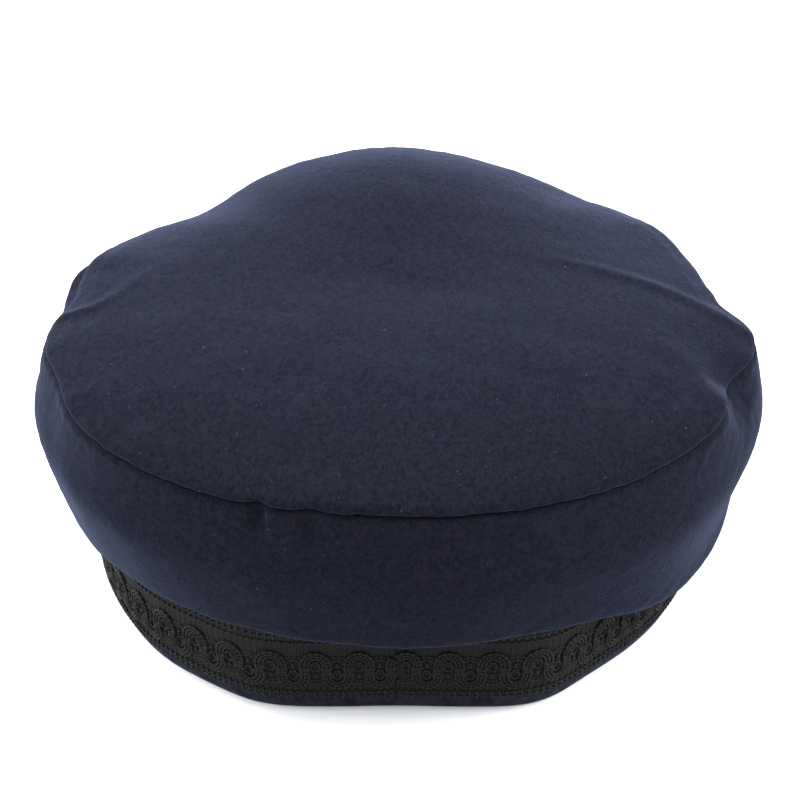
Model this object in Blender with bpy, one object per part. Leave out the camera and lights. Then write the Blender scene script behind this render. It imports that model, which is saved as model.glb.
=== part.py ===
"""A round brimless wool cap: a full crown sewn to a braid-trimmed headband, with lining and sweatband.

Units are metres, +Z up. The origin is the middle of the headband's lower edge, where the cap rests.
The back of the cap, where the strips' ends meet, is at -Y. Azimuth 0 is the back and 90 degrees is +X.

Every piece is first laid out on a plain round form, as a line of cloth in the (radius, height) plane.
The function on_cap then moves each point from that form to the real cap, whose back is flattened and
whose crown is domed, raised at the front and pinched at the sides. Pieces that clear each other on
the round form clear each other on the cap too.
"""

import math

import bmesh
import bpy

# Driving sizes
STEPS = 40  # facets round the cap
BAND_RADIUS = 0.0970  # outer face of the headband at its lower edge
BAND_LEAN = 0.12  # outward lean of the headband per unit of height
BAND_TOP = 0.0350  # where the headband turns in under the crown
JOIN_TOP = 0.0460  # the turned-in edges of the join stand this high inside
RIM_RADIUS = 0.1124  # the seam between the crown's top and its sides
RIM_HEIGHT = 0.0783
BULGE_RADIUS = 0.1170  # the widest part of the crown
LIP_HEIGHT = 0.0336  # the crown's sides hang this low over the braid
CLOTH = 0.0016  # wool cloth with its fused backing
BAND_CLOTH = 0.0014
LINING = 0.0006
GAP = 0.0003  # clearance between pieces that lie on each other
ALLOWANCE = 0.0085  # width of a turned-in seam edge
THREAD = 0.0005  # diameter of the sewing thread
SHARP_ANGLE = 35.0  # edges that turn by more than this, in degrees, are shaded sharp

# How the real cap differs from the round form. Angles are in degrees.
FLAT_DEPTH = 0.0049  # the headband is pressed flat at the back by this much
FLAT_HALF_ANGLE = 14.0
SHOULDER_RISE = 0.0032  # and stands out a little at both ends of the flat
SHOULDER_ANGLE = 25.0
SHOULDER_HALF_ANGLE = 9.0
BAND_NARROWING = 0.0025  # the headband is an oval, narrower from side to side
BAND_ASIDE = -0.0013  # the headband's middle lies this far from the crown's, along X
DOME = 0.0130  # rise of the crown's middle over its rim
DOME_POWER = 2.5  # how flat the middle of the dome is
FRONT_RISE = 0.0132  # extra rise of the crown towards the front
FRONT_MIDDLE = -0.0030  # where that rise is highest, along X
FRONT_HALF_WIDTH = 0.0570
FRONT_START = -0.0050  # it starts here, along Y
FRONT_FULL = 0.1000  # and is whole from here on
OVERHANG_START = 0.1033  # radii between which the shape passes from the headband's to the crown's
OVERHANG_FULL = 0.1085
TOP_LAYERS_HEIGHT = 0.0720  # both rises start above the join and are whole from here up
RIM_PINCHES = ((72.0, 8.0, 0.0065), (104.0, 9.0, 0.0085), (-104.0, 9.0, 0.0020), (-74.0, 9.0, 0.0025))
RIM_WAVES = ((0.0, 16.0, 0.0019), (-117.0, 9.0, 0.0055), (-138.0, 10.0, -0.0020), (128.0, 11.0, 0.0015))
WAVE_POWER = 5  # how closely the waves keep to the rim
SIDE_SAGS = ((58.0, 20.0, 0.0085), (0.0, 40.0, 0.0008))  # where the crown's lower fold hangs deeper

# The linear colour and the roughness of each material
FINISHES = {
    "wool": ((0.018, 0.026, 0.062), 0.95),
    "canvas": ((0.62, 0.57, 0.46), 0.90),
    "buckram": ((0.62, 0.57, 0.46), 0.80),
    "braid": ((0.010, 0.010, 0.011), 0.70),
    "sweatband": ((0.020, 0.020, 0.022), 0.75),
    "lining": ((0.022, 0.026, 0.045), 0.45),
    "label": ((0.75, 0.74, 0.70), 0.60),
    "thread": ((0.012, 0.016, 0.035), 0.60),
}


# The real cap's shape -------------------------------------------------------------------------

def smooth_step(value, low, high):
    share = min(1.0, max(0.0, (value - low) / (high - low)))
    return share * share * (3.0 - 2.0 * share)


def bump(value, middle, half_width):
    return math.exp(-(((value - middle) / half_width) ** 2))


def signed_degrees(azimuth):
    return (math.degrees(azimuth) + 180.0) % 360.0 - 180.0


def local_sum(azimuth, bumps):
    """The sum, at one azimuth, of bumps given as (angle, half angle, size)."""
    angle = signed_degrees(azimuth)
    return sum(size * bump(angle, middle, half_angle) for middle, half_angle, size in bumps)


def band_shift(azimuth):
    """How far the headband stands outside the round form."""
    angle = signed_degrees(azimuth)
    flat = FLAT_DEPTH * bump(angle, 0.0, FLAT_HALF_ANGLE)
    shoulders = SHOULDER_RISE * bump(abs(angle), SHOULDER_ANGLE, SHOULDER_HALF_ANGLE)
    return shoulders - flat - BAND_NARROWING * math.sin(azimuth) ** 2


def crown_lift(x, y):
    """Rise of the crown over its flat form at a point in plan."""
    share = min(1.0, math.hypot(x, y) / RIM_RADIUS)
    dome = DOME * (1.0 - share ** DOME_POWER)
    front = FRONT_RISE * bump(x, FRONT_MIDDLE, FRONT_HALF_WIDTH) * smooth_step(y, FRONT_START, FRONT_FULL)
    return dome + front + share ** WAVE_POWER * local_sum(math.atan2(x, -y), RIM_WAVES)


def raised(x, y, height):
    """The real height of a point: the layers at the top rise by the whole lift, the headband by none."""
    return height + smooth_step(height, JOIN_TOP, TOP_LAYERS_HEIGHT) * crown_lift(x, y)


def on_cap(azimuth, radius, height):
    """The real place of a point of the round form."""
    overhang = smooth_step(radius, OVERHANG_START, OVERHANG_FULL)  # 1 where the crown stands out
    rise = smooth_step(height, JOIN_TOP, RIM_HEIGHT)  # 1 at the rim
    crown = max(overhang, rise)
    shift = (1.0 - crown) * band_shift(azimuth) - rise * local_sum(azimuth, RIM_PINCHES)
    radius += shift * radius / RIM_RADIUS
    x = radius * math.sin(azimuth) + BAND_ASIDE * (1.0 - crown)
    y = -radius * math.cos(azimuth)
    hang = overhang * (1.0 - smooth_step(height, LIP_HEIGHT, RIM_HEIGHT))
    return (x, y, raised(x, y, height) - hang * local_sum(azimuth, SIDE_SAGS))


# Lines of cloth in the (radius, height) plane -------------------------------------------------

def curve_through(points, pieces=2):
    """A Catmull-Rom curve through points, with that many pieces between each two."""
    ends = [points[0], *points, points[-1]]
    found = []
    for before, start, end, after in zip(ends, ends[1:], ends[2:], ends[3:]):
        for step in range(pieces):
            t = step / pieces
            found.append(tuple(
                0.5 * (2.0 * b + (c - a) * t + (2.0 * a - 5.0 * b + 4.0 * c - d) * t ** 2
                       + (3.0 * b - a - 3.0 * c + d) * t ** 3)
                for a, b, c, d in zip(before, start, end, after)))
    found.append(points[-1])
    return found


def cloth_outline(line, thickness):
    """The closed outline of cloth whose face follows line. Its thickness lies to the left of the line."""
    back = []
    for index, (radius, height) in enumerate(line):
        normals = []
        for first, second in ((index - 1, index), (index, index + 1)):
            if first >= 0 and second < len(line):
                along = (line[second][0] - line[first][0], line[second][1] - line[first][1])
                length = math.hypot(*along)
                normals.append((-along[1] / length, along[0] / length))
        mean = [sum(part) / len(normals) for part in zip(*normals)]
        scale = thickness / (mean[0] ** 2 + mean[1] ** 2)
        back.append((radius + mean[0] * scale, height + mean[1] * scale))
    return [*line, *reversed(back)]


def leaning(radius, height):
    """A radius at the headband's foot, carried up along its lean."""
    return (radius + BAND_LEAN * height, height)


# Meshes ---------------------------------------------------------------------------------------

def colour_material(name):
    colour, roughness = FINISHES[name]
    material = bpy.data.materials.get(name) or bpy.data.materials.new(name)
    material.use_nodes = True
    shader = material.node_tree.nodes["Principled BSDF"]
    shader.inputs["Base Color"].default_value = (*colour, 1.0)
    shader.inputs["Roughness"].default_value = roughness
    shader.inputs["Metallic"].default_value = 0.0
    return material


def add_object(name, shape, material):
    bmesh.ops.recalc_face_normals(shape, faces=shape.faces)
    mesh = bpy.data.meshes.new(name)
    shape.to_mesh(mesh)
    shape.free()
    mesh.materials.append(material)
    mesh.shade_smooth()
    mesh.set_sharp_from_angle(angle=math.radians(SHARP_ANGLE))
    made = bpy.data.objects.new(name, mesh)
    bpy.context.scene.collection.objects.link(made)
    return made


CREASE_SLOPE = 0.4  # lines that run outward by more than this per unit of height are creased one way


def bridge(shape, outline, row, following, closed):
    """Triangles between two rows of an outline's points. The way a line runs decides the way of its
    diagonals, so that two layers that lie on each other are creased alike."""
    for index in range(len(outline) if closed else len(outline) - 1):
        after = (index + 1) % len(outline)
        across = outline[after][0] - outline[index][0]
        up = outline[after][1] - outline[index][1]
        corners = (row[index], row[after], following[after], following[index])
        if across > CREASE_SLOPE * up:
            shape.faces.new((corners[0], corners[1], corners[2]))
            shape.faces.new((corners[0], corners[2], corners[3]))
        else:
            shape.faces.new((corners[0], corners[1], corners[3]))
            shape.faces.new((corners[1], corners[2], corners[3]))


def swept_piece(name, outline, material, start=0.0, end=360.0, steps=STEPS):
    """An outline carried round the cap from start to end, in degrees. A whole turn closes on itself."""
    whole = end - start >= 360.0
    turns = [math.radians(start + (end - start) * step / steps) for step in range(steps + (not whole))]
    shape = bmesh.new()
    rows = [[shape.verts.new(on_cap(turn, *point)) for point in outline] for turn in turns]
    for row, following in zip(rows, rows[1:]):
        bridge(shape, outline, row, following, True)
    if whole:
        bridge(shape, outline, rows[-1], rows[0], True)
    else:
        ends = [shape.faces.new(rows[0]), shape.faces.new(rows[-1])]
        bmesh.ops.triangulate(shape, faces=ends)
    return add_object(name, shape, material)


def disc_piece(name, outline, material):
    """An outline whose first and last points lie on the cap's axis, carried round it."""
    turns = [math.tau * step / STEPS for step in range(STEPS)]
    shape = bmesh.new()
    top = shape.verts.new(on_cap(0.0, *outline[0]))
    foot = shape.verts.new(on_cap(0.0, *outline[-1]))
    rows = [[shape.verts.new(on_cap(turn, *point)) for point in outline[1:-1]] for turn in turns]
    for row, following in zip(rows, [*rows[1:], rows[0]]):
        shape.faces.new((top, row[0], following[0]))
        shape.faces.new((foot, following[-1], row[-1]))
        bridge(shape, outline[1:-1], row, following, False)
    return add_object(name, shape, material)


def flat_patch(name, half_x, half_y, top, thickness, material, cells=4):
    """A rectangle of cloth centred under the crown, bent as the crown is."""
    shape = bmesh.new()
    layers = []
    for height in (top, top - thickness):
        grid = []
        for row in range(cells + 1):
            y = half_y * (2.0 * row / cells - 1.0)
            xs = [half_x * (2.0 * column / cells - 1.0) for column in range(cells + 1)]
            grid.append([shape.verts.new((x, y, raised(x, y, height))) for x in xs])
        layers.append(grid)
    upper, lower = layers
    for row in range(cells):
        for column in range(cells):
            for grid in layers:
                shape.faces.new((grid[row][column], grid[row][column + 1],
                                 grid[row + 1][column + 1], grid[row + 1][column]))
    border = [(0, step) for step in range(cells)]
    border += [(step, cells) for step in range(cells)]
    border += [(cells, cells - step) for step in range(cells)]
    border += [(cells - step, 0) for step in range(cells)]
    for (r0, c0), (r1, c1) in zip(border, [*border[1:], border[0]]):
        shape.faces.new((upper[r0][c0], upper[r1][c1], lower[r1][c1], lower[r0][c0]))
    return add_object(name, shape, material)


def thread_outline(radius, height):
    """A thread's square section, centred on a point of the round form."""
    half = THREAD / 2.0
    across = [(-half, 0.0), (0.0, -half), (half, 0.0), (0.0, half)]
    return [(radius + aside, height + up) for aside, up in across]


def thread_along(name, azimuth, line, material):
    """A thread that follows a line in the (radius, height) plane at one azimuth."""
    curve = bpy.data.curves.new(name, "CURVE")
    curve.dimensions = "3D"
    curve.bevel_depth = THREAD / 2.0
    curve.bevel_resolution = 0
    curve.use_fill_caps = True
    spline = curve.splines.new("POLY")
    spline.points.add(len(line) - 1)
    for point, place in zip(spline.points, line):
        point.co = (*on_cap(azimuth, *place), 1.0)
    curve.materials.append(material)
    made = bpy.data.objects.new(name, curve)
    bpy.context.scene.collection.objects.link(made)
    return made


# The crown ------------------------------------------------------------------------------------

TOP_RINGS = (0.0, 0.022, 0.044, 0.064, 0.082, 0.096)  # rings of points of the layers at the top
CROWN_TOP = RIM_HEIGHT + 0.0033  # upper face of the crown's top on the round form
TIP_EDGE = RIM_HEIGHT + 0.0001  # the top's turned edge comes down to here
SIDE_EDGE = TIP_EDGE - GAP  # the sides' turned edge lies under it
TURN_RADIUS = RIM_RADIUS - ALLOWANCE  # both turned edges reach in to here
JOIN_RADIUS = BAND_RADIUS + BAND_LEAN * BAND_TOP - 0.0013  # face of the sides' lower turned edge
SEAM_ANGLE = 90.0  # the rear and front sides meet at both sides of the cap
SEAM_HALF_GAP = math.degrees(GAP / 2.0 / BULGE_RADIUS)
INTERLINING_CLOTH = 0.0010

SIDE_FACE = [
    (JOIN_RADIUS, JOIN_TOP),
    (JOIN_RADIUS, BAND_TOP + 0.0022),
    (JOIN_RADIUS + 0.0012, BAND_TOP + 0.0007),
    *curve_through([
        (BULGE_RADIUS - 0.0133, LIP_HEIGHT + 0.0003),
        (BULGE_RADIUS - 0.0090, LIP_HEIGHT),
        (BULGE_RADIUS - 0.0060, LIP_HEIGHT + 0.0048),
        (BULGE_RADIUS, LIP_HEIGHT + 0.0225),
        (BULGE_RADIUS - 0.0016, RIM_HEIGHT - 0.0105),
        (RIM_RADIUS - 0.0002, RIM_HEIGHT - 0.0008),
    ]),
    (RIM_RADIUS - 0.0010, SIDE_EDGE),
    (TURN_RADIUS, SIDE_EDGE),
]


def disc_outline(radius, top, thickness):
    """The outline of a plain round layer under the crown."""
    radii = [*(ring for ring in TOP_RINGS if ring < radius - 0.002), radius]
    return [*((r, top) for r in radii), *((r, top - thickness) for r in reversed(radii))]


def crown_tip(wool):
    """The round top: its edge is turned under and pressed, so it is thicker there."""
    edge = curve_through([
        (RIM_RADIUS - 0.0060, CROWN_TOP),
        (RIM_RADIUS - 0.0010, CROWN_TOP - 0.0009),
        (RIM_RADIUS - 0.0002, TIP_EDGE + 0.0006),
    ])
    turned = [(RIM_RADIUS - 0.0010, TIP_EDGE), (TURN_RADIUS, TIP_EDGE), (TURN_RADIUS, CROWN_TOP - CLOTH)]
    top = [(radius, CROWN_TOP) for radius in TOP_RINGS]
    under = [(radius, CROWN_TOP - CLOTH) for radius in reversed(TOP_RINGS)]
    disc_piece("crown_tip", [*top, *edge, *turned, *under], wool)


def crown_sides(wool):
    """Rear and front side panels, which meet in a seam at each side."""
    outline = cloth_outline(SIDE_FACE, CLOTH)
    for name, middle in (("crown_side_rear", 0.0), ("crown_side_front", 180.0)):
        start = middle - SEAM_ANGLE + SEAM_HALF_GAP
        end = middle + SEAM_ANGLE - SEAM_HALF_GAP
        swept_piece(name, outline, wool, start, end, STEPS // 2)


def tip_interlining(canvas):
    """The stiff layer that keeps the top round."""
    top = CROWN_TOP - CLOTH - GAP
    disc_piece("tip_interlining", disc_outline(TOP_RINGS[-1], top, INTERLINING_CLOTH), canvas)


# The headband ---------------------------------------------------------------------------------

BAND_TURN_TOP = 0.0090  # the headband's lower edge turns up inside this high
BAND_FOLD = 0.0044  # width of that fold at the foot
BRAID_BOTTOM = 0.0047
BRAID_TOP = 0.0313
BRAID_THICKNESS = 0.0016
STIFFENER_THICKNESS = 0.0008
STIFFENER_BOTTOM = 0.0018
STIFFENER_TOP = 0.0334
STIFFENER_END = 1.0  # the strips' ends stop this many degrees short of the middle of the back
BRAID_END = 0.12
SWEATBAND_END = 0.15
SWEATBAND_TOP = 0.0320
SWEATBAND_CLOTH = 0.0010
SWEATBAND_RADIUS = BAND_RADIUS - BAND_CLOTH - STIFFENER_THICKNESS - 3.0 * GAP  # its outer face


def headband_shell(wool):
    """The wool strip: turned in at its top for the join, and folded up inside at its foot."""
    turn = JOIN_RADIUS - GAP
    inner = BAND_RADIUS - BAND_FOLD
    face = [
        leaning(inner, BAND_TURN_TOP),
        leaning(inner, 0.0007),
        (inner + 0.0007, 0.0),
        (BAND_RADIUS - 0.0008, 0.0),
        leaning(BAND_RADIUS, 0.0008),
        leaning(BAND_RADIUS, BAND_TOP),
        (turn, BAND_TOP + 0.0018),
        (turn, JOIN_TOP - 0.0010),
    ]
    swept_piece("headband_shell", cloth_outline(face, BAND_CLOTH), wool)


def headband_stiffener(buckram):
    """A strip of buckram inside the headband. Its ends stop short of each other at the back."""
    outer = BAND_RADIUS - BAND_CLOTH - GAP - 0.0001
    face = [leaning(outer, STIFFENER_BOTTOM), leaning(outer, STIFFENER_TOP)]
    outline = cloth_outline(face, STIFFENER_THICKNESS)
    swept_piece("headband_stiffener", outline, buckram, STIFFENER_END, 360.0 - STIFFENER_END)


def braid_trim(braid):
    """The decorative braid round the headband, whose two ends meet at the back."""
    inner = BAND_RADIUS + GAP
    face = [leaning(inner + BRAID_THICKNESS, BRAID_BOTTOM), leaning(inner + BRAID_THICKNESS, BRAID_TOP)]
    swept_piece("braid_trim", cloth_outline(face, BRAID_THICKNESS), braid, BRAID_END, 360.0 - BRAID_END)


def sweatband(cloth):
    """The inner strip that rests on the head. Its upper edge is loose."""
    foot = BAND_RADIUS - BAND_FOLD - GAP
    face = [
        leaning(foot, 0.0008),
        leaning(foot, BAND_TURN_TOP + 0.0005),
        leaning(SWEATBAND_RADIUS, BAND_TURN_TOP + 0.0045),
        leaning(SWEATBAND_RADIUS, SWEATBAND_TOP),
    ]
    outline = cloth_outline(face, SWEATBAND_CLOTH)
    swept_piece("sweatband", outline, cloth, SWEATBAND_END, 360.0 - SWEATBAND_END)


# Lining, labels and thread --------------------------------------------------------------------

LINING_TOP = SIDE_EDGE - CLOTH - 0.0015
LINING_FOOT = JOIN_RADIUS - GAP - BAND_CLOTH - 0.0012
LABEL_HALF_X = 0.030
LABEL_HALF_Y = 0.018
LABEL_CLOTH = 0.0005
SMALL_LABEL_CLOTH = 0.0004
SMALL_LABEL_TOP = SWEATBAND_TOP + 0.0020
SMALL_LABELS = (("size_label", 2, 1, 0.0210), ("care_label", 4, 2, 0.0150))  # first facet, facets, foot
SEAM_RADIUS = BAND_RADIUS + 0.010  # the side seams' threads keep outside this radius
SEAM_FOOT = LIP_HEIGHT + 0.0045  # and start and end at these heights
SEAM_HEAD = RIM_HEIGHT - 0.0085
TIP_STITCHES_IN = 0.0050  # how far each line of stitching lies from the edge it holds
JOIN_STITCHES_UP = 0.0040
BRAID_STITCHES_IN = 0.0012
SWEATBAND_STITCHES_HEIGHT = 0.0026
LINING_STITCHES_IN = 0.0030


def lining(satin):
    """The lining bag: a round top and a side that hangs free of the wool."""
    disc_piece("lining_tip", disc_outline(TURN_RADIUS + 0.0005, LINING_TOP, LINING), satin)
    face = [
        (LINING_FOOT, BAND_TOP + 0.0010),
        (LINING_FOOT, JOIN_TOP + 0.0008),
        *curve_through([
            (LINING_FOOT + 0.0080, JOIN_TOP + 0.0045),
            (BULGE_RADIUS - 0.0068, LIP_HEIGHT + 0.0245),
            (BULGE_RADIUS - 0.0078, RIM_HEIGHT - 0.0115),
            (TURN_RADIUS, LINING_TOP - LINING - 2.0 * GAP),
        ]),
    ]
    swept_piece("lining_side", cloth_outline(face, LINING), satin)


def labels(satin):
    """A plain label on the lining's top, and a care label and a size label on the sweatband."""
    flat_patch("lining_label", LABEL_HALF_X, LABEL_HALF_Y, LINING_TOP - LINING - GAP, LABEL_CLOTH, satin)
    above = SWEATBAND_RADIUS - SWEATBAND_CLOTH - GAP
    facet = 360.0 / STEPS
    for name, first, facets, foot in SMALL_LABELS:
        face = [leaning(above, foot), leaning(above, SMALL_LABEL_TOP)]
        outline = cloth_outline(face, SMALL_LABEL_CLOTH)
        swept_piece(name, outline, satin, first * facet, (first + facets) * facet, facets)


def threads(thread):
    """The lines of stitching, each one continuous thread."""
    clear = GAP + THREAD / 2.0
    braid_face = BAND_RADIUS + GAP + BRAID_THICKNESS + clear
    sweatband_face = BAND_RADIUS - BAND_FOLD - GAP - SWEATBAND_CLOTH - clear
    rings = {
        "tip_seam_thread": (RIM_RADIUS - TIP_STITCHES_IN, SIDE_EDGE - CLOTH - clear),
        "band_join_thread": (JOIN_RADIUS - GAP - BAND_CLOTH - clear, BAND_TOP + JOIN_STITCHES_UP),
        "braid_thread_lower": leaning(braid_face, BRAID_BOTTOM + BRAID_STITCHES_IN),
        "braid_thread_upper": leaning(braid_face, BRAID_TOP - BRAID_STITCHES_IN),
        "sweatband_thread": leaning(sweatband_face, SWEATBAND_STITCHES_HEIGHT),
        "lining_seam_thread": (TURN_RADIUS - LINING_STITCHES_IN, LINING_TOP - LINING - clear),
    }
    for name, place in rings.items():
        swept_piece(name, thread_outline(*place), thread)
    inner_face = cloth_outline(SIDE_FACE, CLOTH + clear)[len(SIDE_FACE):]
    outer_part = [place for place in inner_face if place[0] > SEAM_RADIUS]
    seam = [place for place in outer_part if SEAM_FOOT < place[1] < SEAM_HEAD]
    for name, azimuth in (("side_seam_thread_left", -SEAM_ANGLE), ("side_seam_thread_right", SEAM_ANGLE)):
        thread_along(name, math.radians(azimuth), seam, thread)


def main():
    for made in list(bpy.data.objects):
        bpy.data.objects.remove(made)
    wool = colour_material("wool")
    crown_tip(wool)
    crown_sides(wool)
    tip_interlining(colour_material("canvas"))
    headband_shell(wool)
    headband_stiffener(colour_material("buckram"))
    braid_trim(colour_material("braid"))
    sweatband(colour_material("sweatband"))
    lining(colour_material("lining"))
    labels(colour_material("label"))
    threads(colour_material("thread"))


main()
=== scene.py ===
"""The looks of a round brimless wool cap with a braid-trimmed headband, lining and sweatband.

Units are metres, +Z up. The back of the cap is at -Y; azimuth 0 is the back and 90 degrees is +X.
Each cloth piece is laid out on a plain round form, as a line in the (radius, height) plane. The function
on_cap then moves every point to the real cap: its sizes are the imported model's, and it adds the crown's
folds, the puckers along its seam and the soft unevenness of felted wool. Pieces that clear each other
on the round form clear each other on the cap.
"""
import math

import bpy
import numpy as np
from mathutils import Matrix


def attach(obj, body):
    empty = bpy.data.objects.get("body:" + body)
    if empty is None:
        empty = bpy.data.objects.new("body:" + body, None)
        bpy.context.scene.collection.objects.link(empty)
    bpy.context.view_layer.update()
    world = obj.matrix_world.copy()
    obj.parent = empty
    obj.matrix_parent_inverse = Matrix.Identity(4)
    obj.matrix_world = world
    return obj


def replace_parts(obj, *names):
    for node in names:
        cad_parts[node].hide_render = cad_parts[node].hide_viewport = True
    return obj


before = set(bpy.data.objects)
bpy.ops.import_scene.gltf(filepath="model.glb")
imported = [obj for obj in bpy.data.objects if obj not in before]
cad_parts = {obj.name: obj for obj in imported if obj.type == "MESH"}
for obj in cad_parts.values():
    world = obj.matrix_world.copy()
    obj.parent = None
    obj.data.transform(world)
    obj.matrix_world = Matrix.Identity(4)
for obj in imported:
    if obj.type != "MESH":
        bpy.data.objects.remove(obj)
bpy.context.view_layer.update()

BODY = "root"
FINE_STEPS = 720  # points round the crown
COARSE_STEPS = 360  # points round the pieces inside it

# The round form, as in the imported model
BAND_RADIUS = 0.0970  # outer face of the headband at its lower edge
BAND_LEAN = 0.12  # outward lean of the headband per unit of height
BAND_TOP = 0.0350  # where the headband turns in under the crown
JOIN_TOP = 0.0460  # the turned-in edges of the join stand this high inside
RIM_RADIUS = 0.1124  # the seam between the crown's top and its sides
RIM_HEIGHT = 0.0783
BULGE_RADIUS = 0.1170  # the widest part of the crown
LIP_HEIGHT = 0.0336  # the crown's sides hang this low over the braid
CLOTH = 0.0016
BAND_CLOTH = 0.0014
LINING = 0.0006
GAP = 0.0003  # clearance between pieces that lie on each other
ALLOWANCE = 0.0085  # width of a turned-in seam edge
THREAD = 0.0005  # diameter of the sewing thread
STITCH_DIP = 0.0004  # how far the ends of a stitch that shows sink into the cloth

# How the real cap differs from it. Rows of three numbers are local bumps round the cap: the middle and
# half the width, as angles in degrees, and the size.
FLAT_DEPTH = 0.0049  # the headband is pressed flat at the back by this much
FLAT_HALF_ANGLE = 14.0
SHOULDER_RISE = 0.0032  # and stands out a little at both ends of the flat
SHOULDER_ANGLE = 25.0
SHOULDER_HALF_ANGLE = 9.0
BAND_NARROWING = 0.0025  # the headband is an oval, narrower from side to side
BAND_ASIDE = -0.0013  # the headband's middle lies this far from the crown's, along X
DOME = 0.0130  # rise of the crown's middle over its rim
DOME_POWER = 2.5  # how flat the middle of the dome is
FRONT_RISE = 0.0132  # extra rise of the crown towards the front
FRONT_MIDDLE = -0.0030  # where that rise is highest, along X
FRONT_HALF_WIDTH = 0.0570
FRONT_START = -0.0050  # it starts here, along Y
FRONT_FULL = 0.1000  # and is whole from here on
OVERHANG_START = 0.1033  # radii between which the shape passes from the headband's to the crown's
OVERHANG_FULL = 0.1085
TOP_LAYERS_HEIGHT = 0.0720  # both rises start above the join and are whole from here up
RIM_PINCHES = ((72.0, 8.0, 0.0065), (104.0, 9.0, 0.0085), (-104.0, 9.0, 0.0020), (-74.0, 9.0, 0.0025))
RIM_WAVES = ((0.0, 16.0, 0.0019), (-117.0, 9.0, 0.0055), (-138.0, 10.0, -0.0020), (128.0, 11.0, 0.0015))
WAVE_POWER = 5  # how closely the waves keep to the rim
SIDE_SAGS = ((58.0, 20.0, 0.0085), (0.0, 40.0, 0.0008))  # where the crown's lower fold hangs deeper

# Relief that only this script adds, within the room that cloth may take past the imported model
LIP_DROP = 0.0006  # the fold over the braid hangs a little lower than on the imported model
LIP_DROP_HEIGHT = 0.022  # and the drop dies out this far above it
LIP_WAVE = 0.00035
MORE_SAGS = ((45.0, 10.0, 0.0018), (-60.0, 16.0, 0.0008))
MORE_RIM_WAVES = ((-143.0, 8.5, -0.0040), (-119.0, 9.0, -0.0034), (147.0, 8.0, -0.0014),
                  (180.0, 13.0, -0.0006))
MORE_PINCHES = ((117.0, 9.0, 0.0048), (97.0, 4.0, 0.0034), (-121.0, 7.0, 0.0002), (-99.0, 7.0, 0.0034))
PINCH_POWER = 4  # how closely the pinches keep to the rim
SIDE_FULLNESS = ((72.0, 9.0, 0.0040),)  # where the side stays full under a notch of the seam
FULLNESS_POWER = 12  # how close under the rim it still is full
SEAM_FLARES = ((-110.0, 15.0, 0.0030), (127.0, 17.0, 0.0020), (-158.0, 11.0, 0.0022))
FLARE_HEIGHTS = (-0.0130, -0.0034)  # from the rim: where the side starts to stand out, and does so fully
FLARE_EDGE_HEIGHTS = (-0.0032, -0.0004)  # and where it draws in again, to a little under the top
FLARE_DRAWN_IN = 1.3  # by this many times what it stands out
SIDE_TUCKS = ((74.0, 30.0, 0.0034),)  # where the side is drawn in over the braid
TUCK_HEIGHT = LIP_HEIGHT + 0.012
TUCK_HALF_HEIGHT = 0.013
PUCKER_HEIGHT = RIM_HEIGHT - 0.0026
PUCKER_HALF_HEIGHT = 0.0042
DEEP_PUCKERS = ((-21.3, 1.4, 0.0036), (-13.1, 1.9, 0.0029))
MORE_BAND = ((-44.0, 17.0, 0.0032), (28.0, 10.0, 0.0016))  # where the headband stands out further

# Folds of the crown's top: the points of the fold's line in plan, half its width, and its rise
FOLDS = (
    (((-0.107, 0.0055), (-0.097, 0.0070), (-0.0885, 0.0160), (-0.0810, 0.0265), (-0.068, 0.0330)),
     0.0026, 0.0007),
    (((0.034, 0.0250), (0.056, 0.0235), (0.075, 0.0180), (0.093, 0.0085), (0.112, -0.0045)),
     0.0030, 0.0007),
    (((0.088, -0.004), (0.098, -0.018), (0.101, -0.032)),
     0.0100, -0.0037),
    (((0.074, -0.010), (0.084, -0.025), (0.0925, -0.039), (0.097, -0.047)),
     0.0050, 0.0009),
)
FOLD_FADE = 0.045  # a fold dies out towards its inner end over this length
FOLD_HEIGHTS = (RIM_HEIGHT - 0.016, RIM_HEIGHT - 0.003)  # layers between these take part of a fold's rise
CALM_RADIUS = 0.035  # the folds leave the middle of the top alone, out to here
ROUTE_STEPS = 12  # points between two given points of a fold's line

# Soft rises and hollows of the crown's top, as (wave length, size)
FELT_WAVES = ((0.052, 0.00007), (0.033, 0.00004), (0.021, 0.00002), (0.013, 0.00001))
FELT_WAVES_EACH = 4

WOOL_DEEP = (0.0031, 0.0033, 0.0052)
WOOL_BLUE = (0.0118, 0.0128, 0.0214)
WOOL_PLUM = (0.0138, 0.0118, 0.0178)
WOOL_GREY = (0.0101, 0.0123, 0.0167)
WOOL_PALE = (0.060, 0.066, 0.092)
WOOL_SHEEN = (0.51, 0.62, 1.0, 1.0)
CORD_BLACKS = ((0.0064, 0.0064, 0.0067), (0.0176, 0.0175, 0.0180))
TAPE_BLACKS = ((0.0082, 0.0082, 0.0087), (0.0150, 0.0150, 0.0157))
TAPE_SHADE = (0.0088, 0.0088, 0.0091)
SATIN_NAVIES = ((0.012, 0.015, 0.030), (0.020, 0.025, 0.048))
SATIN_LIGHT = (0.030, 0.036, 0.062)
RIBBON_BLACKS = ((0.008, 0.008, 0.009), (0.026, 0.026, 0.029))
RIBBON_WORN = (0.040, 0.039, 0.040)
CANVAS_BEIGES = ((0.42, 0.38, 0.29), (0.60, 0.55, 0.44))
BUCKRAM_BEIGES = ((0.45, 0.41, 0.32), (0.64, 0.60, 0.50))
LABEL_WHITES = ((0.70, 0.69, 0.65), (0.56, 0.55, 0.52))
LABEL_SHADE = (0.60, 0.58, 0.52)
THREAD_NAVIES = ((0.005, 0.006, 0.010), (0.011, 0.013, 0.022))
PAPER_WHITES = ((0.94, 0.94, 0.95), (0.96, 0.96, 0.965))

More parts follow.
